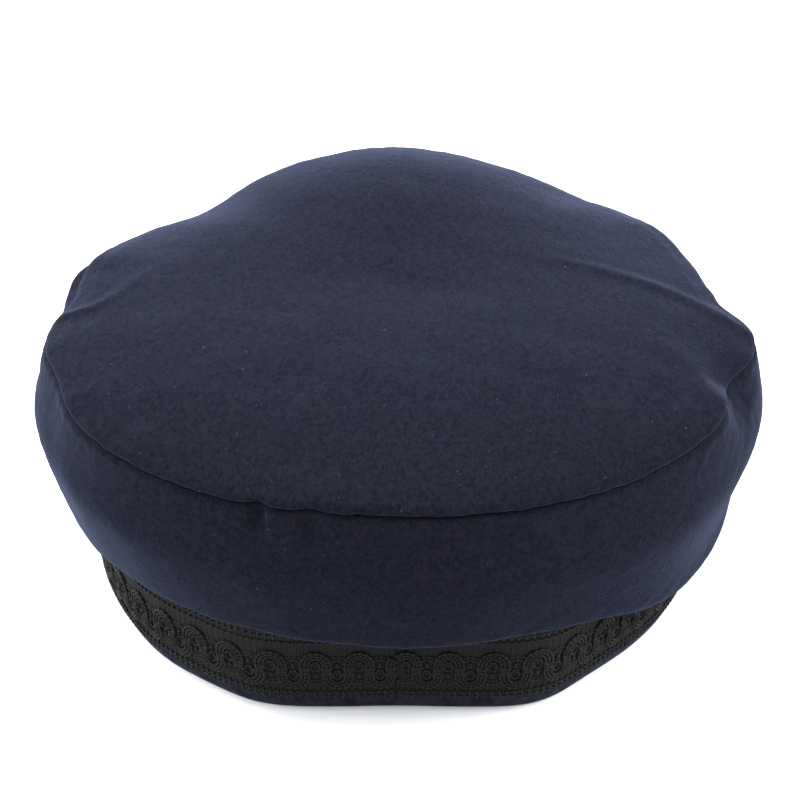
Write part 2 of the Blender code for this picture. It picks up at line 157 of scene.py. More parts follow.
# The studio. Lights are given as name, place, size and power in watts; all of them face LIGHTS_AIM.
CAMERA_LENS = 128.25
CAMERA_SHIFT = 0.0375
CAMERA_ELEVATION = 30.0
CAMERA_DISTANCE = 0.92625
CAMERA_TARGET_HEIGHT = 0.043875
LIGHTS_AIM = (0.0, 0.0, 0.05)
LIGHTS = (
    ("left_light", (-1.25, -0.15, 0.75), (0.9, 1.2), 20.0),
    ("right_light", (1.25, -0.05, 0.75), (0.9, 1.2), 34.0),
    ("left_far_light", (-1.10, 0.80, 0.70), (0.9, 1.0), 36.0),
    ("right_far_light", (1.10, 0.80, 0.70), (0.9, 1.0), 7.0),
    ("far_light", (0.0, 1.50, 0.70), (1.5, 0.9), 54.0),
)
SURROUND = (0.96, 0.98, 1.0, 1.0)
FLOOR_HALF_SIZE = 4.0


# The cap's shape --------------------

def smooth_step(value, low, high):
    share = np.clip((value - low) / (high - low), 0.0, 1.0)
    return share * share * (3.0 - 2.0 * share)


def bump(value, middle, half_width):
    return np.exp(-(((value - middle) / half_width) ** 2))


def away_from(azimuth, middle):
    """Degrees from one azimuth to another, the short way round."""
    return (np.degrees(azimuth) - middle + 180.0) % 360.0 - 180.0


def local_sum(azimuth, bumps):
    """The sum, at each azimuth, of bumps given as (angle, half angle, size)."""
    return sum(size * bump(away_from(azimuth, middle), 0.0, half_angle)
               for middle, half_angle, size in bumps)


def ripple(azimuth, seed, counts, size):
    """A smooth uneven wave round the cap, made of a few whole numbers of waves."""
    draw = np.random.RandomState(seed)
    phases = draw.uniform(0.0, math.tau, len(counts))
    weights = draw.uniform(0.6, 1.0, len(counts))
    waves = sum(w * np.sin(n * azimuth + p) for n, p, w in zip(counts, phases, weights))
    return size * waves / math.sqrt(len(counts))


def curve_through(points, pieces):
    """A Catmull-Rom curve through points, with that many pieces between each two."""
    points = np.array(points, float)
    ends = np.vstack([points[:1], points, points[-1:]])
    t = (np.arange(pieces) / pieces)[:, None]
    found = []
    for b, a, c, d in zip(ends, ends[1:], ends[2:], ends[3:]):
        found.append(0.5 * (2.0 * a + (c - b) * t + (2.0 * b - 5.0 * a + 4.0 * c - d) * t ** 2
                            + (3.0 * a - b - 3.0 * c + d) * t ** 3))
    return np.vstack([*found, points[-1:]])


def distance_from(x, y, route):
    """How far points in plan are from a line of points."""
    apart = np.full(x.shape, np.inf)
    for start, end in zip(route, route[1:]):
        along = end - start
        share = np.clip(((x - start[0]) * along[0] + (y - start[1]) * along[1]) / (along @ along), 0.0, 1.0)
        apart = np.minimum(apart, np.hypot(x - start[0] - share * along[0], y - start[1] - share * along[1]))
    return apart


FOLD_ROUTES = [(curve_through(points, ROUTE_STEPS), width, rise) for points, width, rise in FOLDS]


def folds(x, y):
    """Rise of the crown's top from its folds."""
    total = np.zeros(x.shape)
    outer = np.hypot(x, y) > CALM_RADIUS
    x, y = x[outer], y[outer]
    for route, half_width, rise in FOLD_ROUTES:
        inner = route[np.hypot(*route.T).argmin()]
        fade = smooth_step(np.hypot(x - inner[0], y - inner[1]), 0.0, FOLD_FADE)
        total[outer] += rise * fade * bump(distance_from(x, y, route), 0.0, half_width)
    return total


def felt_unevenness(x, y):
    """Small soft rises and hollows of the crown's top."""
    draw = np.random.RandomState(7)
    total = np.zeros(x.shape)
    for length, size in FELT_WAVES:
        for _ in range(FELT_WAVES_EACH):
            turn, phase = draw.uniform(0.0, math.tau, 2)
            total += size * np.sin(math.tau * (x * math.cos(turn) + y * math.sin(turn)) / length + phase)
    return total


def crown_lift(x, y):
    """Rise of the crown over its flat form at a point in plan."""
    share = np.minimum(1.0, np.hypot(x, y) / RIM_RADIUS)
    dome = DOME * (1.0 - share ** DOME_POWER)
    front = FRONT_RISE * bump(x, FRONT_MIDDLE, FRONT_HALF_WIDTH) * smooth_step(y, FRONT_START, FRONT_FULL)
    azimuth = np.arctan2(x, -y)
    rim = share ** WAVE_POWER * (local_sum(azimuth, RIM_WAVES) + local_sum(azimuth, MORE_RIM_WAVES))
    broad = ripple(azimuth, 3, (5, 9, 14, 23, 37), 0.00028) * share ** 6
    fine = ripple(azimuth, 17, (61, 83, 109), 0.00012) * share ** 36
    return dome + front + rim + felt_unevenness(x, y) + broad + fine


def raised(x, y, height):
    """The real height of a point: the top's layers rise by the whole lift, the headband by none."""
    lift = smooth_step(height, JOIN_TOP, TOP_LAYERS_HEIGHT) * crown_lift(x, y)
    return height + lift + smooth_step(height, *FOLD_HEIGHTS) * folds(x, y)


def band_shift(azimuth):
    """How far the headband stands outside the round form."""
    angle = away_from(azimuth, 0.0)
    flat = FLAT_DEPTH * bump(angle, 0.0, FLAT_HALF_ANGLE)
    shoulders = SHOULDER_RISE * bump(np.abs(angle), SHOULDER_ANGLE, SHOULDER_HALF_ANGLE)
    return shoulders - flat - BAND_NARROWING * np.sin(azimuth) ** 2 + local_sum(azimuth, MORE_BAND)


def pucker_list():
    """The small creases under the crown's seam, as (angle, half angle, depth), deepest at the left back."""
    draw = np.random.RandomState(11)
    creases = []
    angle = -180.0
    while angle < 178.0:
        strength = 0.35 + 0.9 * math.exp(-((angle + 20.0) / 16.0) ** 2)
        creases.append((angle, draw.uniform(0.5, 1.1), draw.uniform(0.00010, 0.00050) * strength))
        angle += draw.uniform(1.3, 3.6)
    return [*creases, *DEEP_PUCKERS]


PUCKERS = pucker_list()


def side_relief(azimuth, height):
    """How far the crown's side stands out past the round form."""
    broad = ripple(azimuth, 5, (3, 5, 8, 11), 0.0005) * bump(height, LIP_HEIGHT + 0.020, 0.020)
    slanted = ripple(azimuth + 6.0 * height, 9, (13, 21, 30), 0.00014)
    small = ripple(azimuth - 14.0 * height, 21, (44, 57, 73), 0.00009)
    crease = local_sum(azimuth, PUCKERS) * bump(height, PUCKER_HEIGHT, PUCKER_HALF_HEIGHT)
    tuck = local_sum(azimuth, SIDE_TUCKS) * bump(height, TUCK_HEIGHT, TUCK_HALF_HEIGHT)
    return broad - tuck + slanted * bump(height, RIM_HEIGHT - 0.020, 0.022) + small - crease


def side_shift(azimuth, radius, height):
    """How far the overhanging side stands outside the round form."""
    stand_out = smooth_step(height, *(RIM_HEIGHT + level for level in FLARE_HEIGHTS))
    draw_in = smooth_step(height, *(RIM_HEIGHT + level for level in FLARE_EDGE_HEIGHTS))
    flare = local_sum(azimuth, SEAM_FLARES) * stand_out * (1.0 - FLARE_DRAWN_IN * draw_in)
    return flare + side_relief(azimuth, height) * smooth_step(radius, OVERHANG_START, RIM_RADIUS)


def side_drop(azimuth, height):
    """How far the overhanging side hangs below the round form."""
    hang = 1.0 - smooth_step(height, LIP_HEIGHT, RIM_HEIGHT)
    low = 1.0 - smooth_step(height, LIP_HEIGHT, LIP_HEIGHT + LIP_DROP_HEIGHT)
    edge = LIP_DROP + local_sum(azimuth, MORE_SAGS) + ripple(azimuth, 15, (6, 11, 17, 26), LIP_WAVE)
    return hang * local_sum(azimuth, SIDE_SAGS) + low * edge


def on_cap(azimuth, radius, height):
    """The real places of points of the round form, as an array of (x, y, z)."""
    azimuth, radius, height = np.broadcast_arrays(azimuth, radius, height)
    overhang = smooth_step(radius, OVERHANG_START, OVERHANG_FULL)
    rise = smooth_step(height, JOIN_TOP, RIM_HEIGHT)
    crown = np.maximum(overhang, rise)
    pinch = rise ** PINCH_POWER * local_sum(azimuth, RIM_PINCHES + MORE_PINCHES)
    fullness = (rise ** PINCH_POWER - rise ** FULLNESS_POWER) * local_sum(azimuth, SIDE_FULLNESS)
    shift = ((1.0 - crown) * band_shift(azimuth) - pinch + fullness
             + overhang * side_shift(azimuth, radius, height))
    radius = radius + shift * radius / RIM_RADIUS
    x = radius * np.sin(azimuth) + BAND_ASIDE * (1.0 - crown)
    y = -radius * np.cos(azimuth)
    z = raised(x, y, height) - overhang * side_drop(azimuth, height)
    return np.stack([x, y, z], -1)


# Lines of cloth in the (radius, height) plane --------------------

def cloth_back(line, thickness):
    """The other face of cloth whose face follows line. Its thickness lies to the left of the line."""
    line = np.array(line, float)
    along = np.diff(line, axis=0)
    along /= np.hypot(*along.T)[:, None]
    normal = np.stack([-along[:, 1], along[:, 0]], -1)
    mean = 0.5 * (np.vstack([normal[:1], normal]) + np.vstack([normal, normal[-1:]]))
    scale = thickness / np.maximum((mean ** 2).sum(1), 0.5)
    return line + mean * scale[:, None]


def leaning(radius, height, lean=BAND_LEAN):
    """A radius at the headband's foot, carried up along its lean."""
    return (radius + lean * height, height)


def leaning_line(radius, start, end, pieces, lean=BAND_LEAN):
    return [leaning(radius, start + (end - start) * step / pieces, lean) for step in range(pieces + 1)]


# Meshes --------------------

def grid_faces(rows, columns, wrap_rows=False, wrap_columns=False):
    """Quads of a grid of points, and each corner's row and column counted on past the wrap."""
    r, c = np.meshgrid(np.arange(rows - (not wrap_rows)), np.arange(columns - (not wrap_columns)),
                       indexing="ij")
    corners = [(r, c), (r + 1, c), (r + 1, c + 1), (r, c + 1)]
    index = np.stack([(a % rows) * columns + b % columns for a, b in corners], -1).reshape(-1, 4)
    spots = np.stack([np.stack(pair, -1) for pair in corners], -2).reshape(-1, 4, 2)
    return index, spots


def signed_volume(points, faces):
    total = 0.0
    for face in (faces[:, [0, 1, 2]], faces[:, [0, 2, 3]]) if faces.shape[1] == 4 else (faces,):
        a, b, c = (points[face[:, k]] for k in range(3))
        total += float((a * np.cross(b, c)).sum())
    return total


def new_object(name, data):
    made = bpy.data.objects.new(name, data)
    bpy.context.scene.collection.objects.link(made)
    return made


def add_piece(name, points, parts, material, sharp=40.0):
    """A mesh piece that rides on the cap. parts are (faces, corner coordinates on the cloth) pairs."""
    centred = points - points.mean(0)
    outward = sum(signed_volume(centred, faces) for faces, _ in parts) > 0.0
    faces, places = [], []
    for part, cloth in parts:
        faces += (part if outward else part[:, ::-1]).tolist()
        places.append((cloth if outward else cloth[:, ::-1]).reshape(-1, 2))
    mesh = bpy.data.meshes.new(name)
    mesh.from_pydata(points.tolist(), [], faces)
    layer = mesh.uv_layers.new(name="cloth")
    layer.data.foreach_set("uv", np.concatenate(places).astype(np.float32).ravel())
    mesh.materials.append(material)
    mesh.shade_smooth()
    mesh.set_sharp_from_angle(angle=math.radians(sharp))
    piece = new_object(name, mesh)
    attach(piece, BODY)
    return piece


def lengths_along(line):
    return np.concatenate([[0.0], np.cumsum(np.hypot(*np.diff(line, axis=0).T))])


def strip_piece(name, points, turns, up, whole, material):
    """A closed strip of cloth that runs round the cap. points has a row for each turn, which holds the
    points of the cloth's face and then those of its back, reversed. up is how far along the cloth each
    point of the face lies."""
    rows, count = points.shape[:2]
    faces, spots = grid_faces(rows, count, whole, True)
    up = np.concatenate([up, up[::-1], up[:1]])
    parts = [(faces, np.stack([turns[spots[..., 0]] * BAND_RADIUS, up[spots[..., 1]]], -1))]
    if not whole:
        pairs = np.arange(count // 2 - 1)
        cap = np.stack([pairs, pairs + 1, count - 2 - pairs, count - 1 - pairs], -1)
        flat = np.stack([0.0 * cap, up[cap]], -1)
        parts += [(cap, flat), (cap[:, ::-1] + (rows - 1) * count, flat[:, ::-1])]
    return add_piece(name, points.reshape(-1, 3), parts, material)


def swept_shell(name, line, thickness, material, start=0.0, end=360.0, steps=COARSE_STEPS,
                relief=None):
    """Cloth of one thickness, carried round the cap from start to end, in degrees."""
    line = np.array(line, float)
    outline = np.vstack([line, cloth_back(line, thickness)[::-1]])
    whole = end - start >= 360.0
    turns = np.radians(np.linspace(start, end, steps + 1))
    rounds = turns[:steps + (not whole), None]
    points = on_cap(rounds, outline[:, 0], outline[:, 1])
    if relief is not None:
        points = points + relief(rounds, outline[None, :, 1])
    return strip_piece(name, points, turns, lengths_along(line), whole, material)


def disc_shell(name, outline, material, steps=COARSE_STEPS):
    """A closed round layer. The outline's first and last points lie on the cap's axis."""
    outline = np.array(outline, float)
    turns = math.tau * np.arange(steps) / steps
    rings = on_cap(turns[:, None], outline[None, 1:-1, 0], outline[None, 1:-1, 1])
    ends = [on_cap(0.0, *outline[0]), on_cap(0.0, *outline[-1])]
    points = np.vstack([rings.reshape(-1, 3), *(end.reshape(1, 3) for end in ends)])
    count = len(outline) - 2
    faces, _ = grid_faces(steps, count, True, False)
    row, after = np.arange(steps), (np.arange(steps) + 1) % steps
    top, foot = steps * count, steps * count + 1
    fans = [np.stack([np.full(steps, top), row * count, after * count], -1)[:, ::-1],
            np.stack([np.full(steps, foot), after * count + count - 1, row * count + count - 1], -1)[:, ::-1]]
    parts = [(part, points[part][..., :2]) for part in (faces, *fans)]
    return add_piece(name, points, parts, material)


def tube_points(path, radius, sides):
    """Rings of points round a path, each of which starts on the side away from the cap."""
    along = np.gradient(path, axis=0)
    along /= np.linalg.norm(along, axis=1)[:, None]
    out = path * (1.0, 1.0, 0.0)
    out /= np.linalg.norm(out, axis=1)[:, None]
    out = out - (out * along).sum(1)[:, None] * along
    out /= np.linalg.norm(out, axis=1)[:, None]
    aside = np.cross(along, out)
    angles = math.tau * np.arange(sides) / sides
    radius = np.broadcast_to(np.asarray(radius, float), (len(path),))
    ring = np.cos(angles)[None, :, None] * out[:, None] + np.sin(angles)[None, :, None] * aside[:, None]
    return path[:, None] + radius[:, None, None] * ring


def tubes_piece(name, paths, radius, material, sides=6, closed=False):
    """Many tubes as one piece. An open tube narrows to a point at each end."""
    points, parts, base = [], [], 0
    for path in paths:
        path = np.array(path, float)
        count = len(path)
        rings = tube_points(np.vstack([path[-1:], path, path[:1]]) if closed else path, radius, sides)
        rings = rings[1:-1] if closed else rings
        points.append(rings.reshape(-1, 3))
        faces, spots = grid_faces(count, sides, closed, True)
        parts.append((faces + base, np.stack([spots[..., 0] * 0.0006, spots[..., 1] / sides], -1)))
        if not closed:
            around = np.arange(sides)
            after = (around + 1) % sides
            tips = path[[0, -1]] + (path[[0, -1]] - path[[1, -2]]) * 0.3
            points.append(tips)
            first, last = base + count * sides, base + count * sides + 1
            for tip, ring, order in ((first, 0, 1), (last, (count - 1) * sides, -1)):
                fan = np.stack([np.full(sides, tip), base + ring + after, base + ring + around], -1)
                parts.append((fan[:, ::order], np.zeros((sides, 3, 2))))
            base += 2
        base += count * sides
    return add_piece(name, np.vstack(points), parts, material, sharp=75.0)


# Materials --------------------

SOCKETS = {"sheen": "Sheen Weight", "sheen_roughness": "Sheen Roughness", "sheen_tint": "Sheen Tint",
           "specular": "Specular IOR Level", "anisotropic": "Anisotropic"}
WAVE_SCALE = math.tau / 20.0  # a Wave texture of this scale has one band to a unit


class Finish:
    """A Principled material with procedural detail, in metres of the piece's own space."""

    def __init__(self, name, roughness, **fixed):
        self.material = bpy.data.materials.new(name)
        self.material.use_nodes = True
        self.tree = self.material.node_tree
        self.shader = self.tree.nodes["Principled BSDF"]
        self.shader.inputs["Roughness"].default_value = roughness
        for socket, value in fixed.items():
            self.shader.inputs[SOCKETS[socket]].default_value = value
        self.place = self.add("ShaderNodeTexCoord").outputs["Object"]
        self.normal = None

    def add(self, kind, inputs=None, **settings):
        """A new node. Each of its inputs is given as a value, or as the socket to link it to."""
        node = self.tree.nodes.new(kind)
        for key, value in settings.items():
            setattr(node, key, value)
        for key, value in (inputs or {}).items():
            if isinstance(value, bpy.types.NodeSocket):
                self.tree.links.new(value, node.inputs[key])
            else:
                node.inputs[key].default_value = value
        return node

    def squeeze(self, scale):
        """Stretches the patterns made after it by one over scale along each axis."""
        self.place = self.add("ShaderNodeMapping", {"Vector": self.place, "Scale": scale}).outputs["Vector"]

    def cloth(self):
        return self.add("ShaderNodeUVMap", uv_map="cloth").outputs["UV"]

    def noise(self, per_metre, detail=2.0, rough=0.5, curl=0.0):
        return self.add("ShaderNodeTexNoise", {"Vector": self.place, "Scale": per_metre, "Detail": detail,
                                               "Roughness": rough, "Distortion": curl}).outputs["Fac"]

    def stripes(self, per_metre, axis):
        """Ribs that follow the cloth: along it for "X", across it for "Y"."""
        return self.add("ShaderNodeTexWave", {"Vector": self.cloth(), "Scale": per_metre * WAVE_SCALE,
                                              "Distortion": 0.6, "Detail": 1.0},
                        bands_direction=axis).outputs["Fac"]

    def twist(self, pitch):
        """The slanting turns of a tube's plies, from its length and its angle in the cloth layer."""
        scale = (2.0 * WAVE_SCALE / pitch, 2.0 * WAVE_SCALE, 1.0)
        plies = self.add("ShaderNodeMapping", {"Vector": self.cloth(), "Scale": scale}).outputs["Vector"]
        return self.add("ShaderNodeTexWave", {"Vector": plies, "Scale": 1.0},
                        bands_direction="DIAGONAL").outputs["Fac"]

    def ramp(self, source, low, high):
        """From 0 at low to 1 at high, in a smooth step."""
        return self.add("ShaderNodeMapRange", {"Value": source, "From Min": low, "From Max": high},
                        interpolation_type="SMOOTHSTEP").outputs["Result"]

    def times(self, source, factor):
        return self.add("ShaderNodeMath", {0: source, 1: factor}, operation="MULTIPLY").outputs[0]

    def plus(self, first, second):
        return self.add("ShaderNodeMath", {0: first, 1: second}, operation="ADD").outputs[0]

    def mix(self, share, first, second):
        """A colour between two, each a colour or a socket."""
        first, second = ((*one, 1.0) if isinstance(one, tuple) else one for one in (first, second))
        return self.add("ShaderNodeMix", {"Factor": share, 6: first, 7: second}, data_type="RGBA").outputs[2]

    def bump(self, height, depth):
        """Adds a bump of that depth in metres on top of the ones before."""
        inputs = {"Height": height, "Strength": 1.0, "Distance": depth}
        if self.normal is not None:
            inputs["Normal"] = self.normal
        self.normal = self.add("ShaderNodeBump", inputs).outputs["Normal"]

    def done(self, colour):
        self.tree.links.new(colour, self.shader.inputs["Base Color"])
        if self.normal is not None:
            self.tree.links.new(self.normal, self.shader.inputs["Normal"])
        return self.material


def wool_material(name, painted_light_share=0.0):
    """Felted navy wool: mottled blue, plum and near-black fibres under a short nap, with pale flecks.
    A share above zero makes the wool lighter in patches, towards the pale colour: painted light, standing in
    for light bounced up from the floor onto the headband."""
    made = Finish(name, 0.95, sheen=0.16, sheen_roughness=0.30, sheen_tint=WOOL_SHEEN, specular=0.0)
    made.squeeze((1.0, 0.55, 1.0))
    hue = made.noise(230.0, 3.0)
    fibres = made.ramp(made.noise(900.0, 3.0, rough=0.70), 0.27, 0.73)
    nap = made.noise(2300.0, 3.0, rough=0.6, curl=2.5)
    flecks = made.ramp(made.noise(950.0, 1.0), 0.755, 0.82)
    fibres = made.plus(made.times(fibres, 0.65), made.times(made.ramp(nap, 0.2, 0.8), 0.35))
    colour = made.mix(fibres, WOOL_DEEP, WOOL_BLUE)
    colour = made.mix(made.times(made.ramp(hue, 0.48, 0.72), 0.40), colour, WOOL_PLUM)
    colour = made.mix(made.times(made.ramp(hue, 0.50, 0.30), 0.45), colour, WOOL_GREY)
    colour = made.mix(made.times(flecks, 0.55), colour, WOOL_PALE)
    # Painted light: lighter patches that stand in for light bounced up from the floor
    if painted_light_share:
        painted_light_patches = made.ramp(made.noise(300.0, 2.0), 0.20, 0.60)
        colour = made.mix(made.times(painted_light_patches, painted_light_share), colour, WOOL_PALE)
    made.bump(made.noise(420.0, 2.0), 0.00016)
    made.bump(made.noise(1050.0, 2.0, rough=0.60), 0.00013)
    made.bump(nap, 0.00008)
    return made.done(colour)


def twisted_material(name, roughness, pitch, colours, depth, fuzz=0.0, **fixed):
    """Cord or thread with the slanting turns of its plies."""
    made = Finish(name, roughness, **fixed)
    turns = made.twist(pitch)
    colour = made.mix(made.ramp(turns, 0.1, 0.9), *colours)
    made.bump(turns, depth)
    if fuzz:
        made.bump(made.noise(2600.0, 2.0), fuzz)
    return made.done(colour)


def tape_material():
    """The braid's ground: dull black, with fine ribs across it."""
    made = Finish("braid_tape", 0.85, sheen=0.01, sheen_roughness=0.5, specular=0.05)
    ribs = made.stripes(1150.0, "X")
    grain = made.noise(1900.0, 2.0)
    colour = made.mix(made.ramp(ribs, 0.1, 0.9), *TAPE_BLACKS)
    colour = made.mix(made.times(grain, 0.5), colour, TAPE_SHADE)
    made.bump(ribs, 0.00008)
    made.bump(grain, 0.00010)
    return made.done(colour)


def satin_material():
    """Navy lining satin: smooth, with a faint twill line and a soft gloss."""
    made = Finish("lining_satin", 0.36, sheen=0.15, sheen_roughness=0.4, specular=0.55, anisotropic=0.35)
    weave = made.stripes(2600.0, "X")
    cloudy = made.noise(160.0, 2.0)
    colour = made.mix(made.ramp(cloudy, 0.3, 0.7), *SATIN_NAVIES)
    colour = made.mix(made.times(weave, 0.25), colour, SATIN_LIGHT)
    made.bump(weave, 0.00003)
    made.bump(made.noise(900.0, 1.0), 0.00004)
    return made.done(colour)


def sweatband_material():
    """Black grosgrain ribbon: raised ribs across the strip."""
    made = Finish("sweatband_ribbon", 0.60, sheen=0.2, sheen_roughness=0.45, specular=0.35)
    ribs = made.stripes(900.0, "X")
    wear = made.noise(220.0, 3.0)
    colour = made.mix(made.ramp(ribs, 0.1, 0.8), *RIBBON_BLACKS)
    colour = made.mix(made.times(made.ramp(wear, 0.45, 0.75), 0.35), colour, RIBBON_WORN)
    made.bump(ribs, 0.00020)
    made.bump(made.noise(1700.0, 1.0), 0.00006)
    return made.done(colour)


def canvas_material(name, colours, per_metre):
    """Plain woven cloth stiffened with size, such as buckram or interlining canvas."""
    made = Finish(name, 0.85, specular=0.2)
    warp, weft = made.stripes(per_metre, "X"), made.stripes(per_metre, "Y")
    weave = made.plus(made.times(warp, 0.5), made.times(weft, 0.5))
    colour = made.mix(made.ramp(weave, 0.25, 0.75), *colours)
    colour = made.mix(made.times(made.noise(120.0, 3.0), 0.4), colour, colours[0])
    made.bump(weave, 0.00018)
    return made.done(colour)


def label_material():
    """Woven satin label, left blank."""
    made = Finish("label_satin", 0.42, sheen=0.1, sheen_roughness=0.4, specular=0.5)
    weave = made.stripes(3000.0, "Y")
    colour = made.mix(made.times(weave, 0.6), *LABEL_WHITES)
    colour = made.mix(made.times(made.noise(240.0, 2.0), 0.3), colour, LABEL_SHADE)
    made.bump(weave, 0.00004)
    return made.done(colour)


# The crown --------------------

CROWN_TOP = RIM_HEIGHT + 0.0033  # upper face of the crown's top on the round form
TIP_EDGE = RIM_HEIGHT + 0.0001  # the top's turned edge comes down to here
SIDE_EDGE = TIP_EDGE - GAP  # the sides' turned edge lies under it
TURN_RADIUS = RIM_RADIUS - ALLOWANCE  # both turned edges reach in to here
JOIN_RADIUS = BAND_RADIUS + BAND_LEAN * BAND_TOP - 0.0013  # face of the sides' lower turned edge
SEAM_ANGLE = 90.0  # the rear and front sides meet at both sides of the cap
SEAM_HALF_GAP = math.degrees(GAP / 2.0 / BULGE_RADIUS)
RING_STEP = 0.0022  # between rings of points on a flat layer
INTERLINING_RADIUS = 0.096
INTERLINING_CLOTH = 0.0010


def rings_to(radius, step):
    """Radii from the middle out to a radius, about a step apart."""
    return np.linspace(0.0, radius, round(radius / step) + 1)


def plain_disc(radius, top, thickness):
    radii = rings_to(radius, RING_STEP)
    return [*((r, top) for r in radii), *((r, top - thickness) for r in reversed(radii))]


def crown_tip(wool):
    """The round top. Its turned-under edge makes a soft roll along the seam."""
    edge = curve_through([
        (RIM_RADIUS - 0.0066, CROWN_TOP),
        (RIM_RADIUS - 0.0030, CROWN_TOP - 0.0004),
        (RIM_RADIUS - 0.0013, CROWN_TOP - 0.0006),
        (RIM_RADIUS + 0.0002, CROWN_TOP - 0.0012),
        (RIM_RADIUS + 0.0007, CROWN_TOP - 0.0020),
        (RIM_RADIUS + 0.0003, CROWN_TOP - 0.0027),
        (RIM_RADIUS - 0.0006, TIP_EDGE + 0.0001),
        (RIM_RADIUS - 0.0014, TIP_EDGE),
    ], 4)
    turned = [(TURN_RADIUS, TIP_EDGE), (TURN_RADIUS, CROWN_TOP - CLOTH)]
    top = [(radius, CROWN_TOP) for radius in rings_to(RIM_RADIUS - 0.0086, RING_STEP)]
    under = [(radius, CROWN_TOP - CLOTH) for radius in rings_to(TURN_RADIUS - 0.0080, 0.008)[::-1]]
    made = disc_shell("wool_crown_tip", [*top, *edge, *turned, *under], wool, FINE_STEPS)
    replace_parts(made, "crown_tip")


def side_face():
    """The outer face of the crown's side, from its turned edge in the join to the one under the tip."""
    return np.vstack([
        leaning_line(JOIN_RADIUS, JOIN_TOP, BAND_TOP + 0.0030, 4, 0.0),
        curve_through([
            (JOIN_RADIUS, BAND_TOP + 0.0022),
            (JOIN_RADIUS + 0.0012, BAND_TOP + 0.0007),
            (BULGE_RADIUS - 0.0133, LIP_HEIGHT + 0.0003),
            (BULGE_RADIUS - 0.0090, LIP_HEIGHT),
            (BULGE_RADIUS - 0.0060, LIP_HEIGHT + 0.0048),
            (BULGE_RADIUS, LIP_HEIGHT + 0.0225),
            (BULGE_RADIUS - 0.0016, RIM_HEIGHT - 0.0105),
            (RIM_RADIUS + 0.0019, RIM_HEIGHT - 0.0040),
            (RIM_RADIUS + 0.0014, RIM_HEIGHT - 0.0017),
            (RIM_RADIUS + 0.0004, RIM_HEIGHT - 0.0007),
        ], 7),
        [(RIM_RADIUS - 0.0014, SIDE_EDGE), (TURN_RADIUS, SIDE_EDGE)],
    ])


def crown_sides(wool):
    """Rear and front side panels, which meet in a seam at each side."""
    for name, node, middle in (("wool_crown_side_rear", "crown_side_rear", 0.0),
                               ("wool_crown_side_front", "crown_side_front", 180.0)):
        made = swept_shell(name, side_face(), CLOTH, wool, middle - SEAM_ANGLE + SEAM_HALF_GAP,
                           middle + SEAM_ANGLE - SEAM_HALF_GAP, FINE_STEPS // 2)
        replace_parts(made, node)


def interlining(canvas):
    outline = plain_disc(INTERLINING_RADIUS, CROWN_TOP - CLOTH - GAP, INTERLINING_CLOTH)
    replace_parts(disc_shell("canvas_tip_interlining", outline, canvas), "tip_interlining")


# The headband --------------------

BAND_TURN_TOP = 0.0090  # the headband's lower edge turns up inside this high
BAND_FOLD = 0.0044  # width of that fold at the foot
STIFFENER_THICKNESS = 0.0008
STIFFENER_BOTTOM = 0.0018
STIFFENER_TOP = 0.0334
STIFFENER_END = 1.0  # the strips' ends stop this many degrees short of the middle of the back
BRAID_END = 0.12
SWEATBAND_END = 0.15
SWEATBAND_TOP = 0.0320
SWEATBAND_CLOTH = 0.0010
SWEATBAND_RADIUS = BAND_RADIUS - BAND_CLOTH - STIFFENER_THICKNESS - 3.0 * GAP  # its outer face
LOOSE_HEIGHT = 0.016  # the sweatband hangs free above this

BRAID_BOTTOM = 0.0047
BRAID_TOP = 0.0313
BRAID_MIDDLE = 0.5 * (BRAID_BOTTOM + BRAID_TOP)
TAPE_THICKNESS = 0.00075
PICOT_PITCH = 0.0021
PICOT_COUNT = round(math.tau * BAND_RADIUS / PICOT_PITCH)
CORD_RADIUS = 0.00044
CORD_SPACING = 0.00108
CORD_END = 0.45  # the winding cords stop this many degrees short of the braid's joint
CORD_REPEATS = 48
CORD_POINTS = 44  # to one repeat
CORD_START = 0.9  # where in a repeat the cords are cut off, in radians
MEANDER_SWING = 1.66  # how far the cords' heading swings to each side, in radians
MEANDER_MIDDLE = 0.0160
UNDER_CORDS_SHARE = 0.80  # height of the lower layer's winding, as a share of the upper one's
EYE_INSET = 0.0042  # middles of the small rings, below the tops of the arches
EYE_RADII = (0.0013, 0.0017)
EYE_CORD = 0.00042
KNOT_SPAN = (-0.0046, -0.0024)
KNOT_RADII = np.array([0.0003, 0.0006, 0.0007, 0.0006, 0.0003])
PETAL_SPAN = (0.0003, 0.0024)
PETAL_RADII = np.array([0.0003, 0.00055, 0.00065, 0.0005, 0.0003])
EDGE_CORD = 0.00036
PICOT_SPANS = ((BRAID_BOTTOM + 0.0001, BRAID_BOTTOM + 0.0036), (BRAID_TOP - 0.0038, BRAID_TOP - 0.0001))
PICOT_RADII = np.array([0.00030, 0.00042, 0.00046, 0.00042, 0.00030])


def headband(wool):
    """The wool strip: turned in at its top for the join, and folded up inside at its foot."""
    inner = BAND_RADIUS - BAND_FOLD
    face = np.vstack([
        leaning_line(inner, BAND_TURN_TOP, 0.0016, 4),
        curve_through([leaning(inner, 0.0010), (inner + 0.0007, 0.0001), (inner + 0.0016, 0.0)], 3),
        curve_through([(BAND_RADIUS - 0.0017, 0.0), (BAND_RADIUS - 0.0006, 0.0002),
                       leaning(BAND_RADIUS, 0.0012)], 4),
        leaning_line(BAND_RADIUS, 0.0022, BAND_TOP, 14),
        [(JOIN_RADIUS - GAP, BAND_TOP + 0.0018), (JOIN_RADIUS - GAP, JOIN_TOP - 0.0010)],
    ])
    made = swept_shell("wool_headband", face, BAND_CLOTH, wool, steps=FINE_STEPS)
    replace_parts(made, "headband_shell")


def stiffener(buckram):
    outer = BAND_RADIUS - BAND_CLOTH - GAP - 0.0001
    line = leaning_line(outer, STIFFENER_BOTTOM, STIFFENER_TOP, 10)
    made = swept_shell("buckram_headband_stiffener", line, STIFFENER_THICKNESS, buckram,
                       STIFFENER_END, 360.0 - STIFFENER_END)
    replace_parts(made, "headband_stiffener")


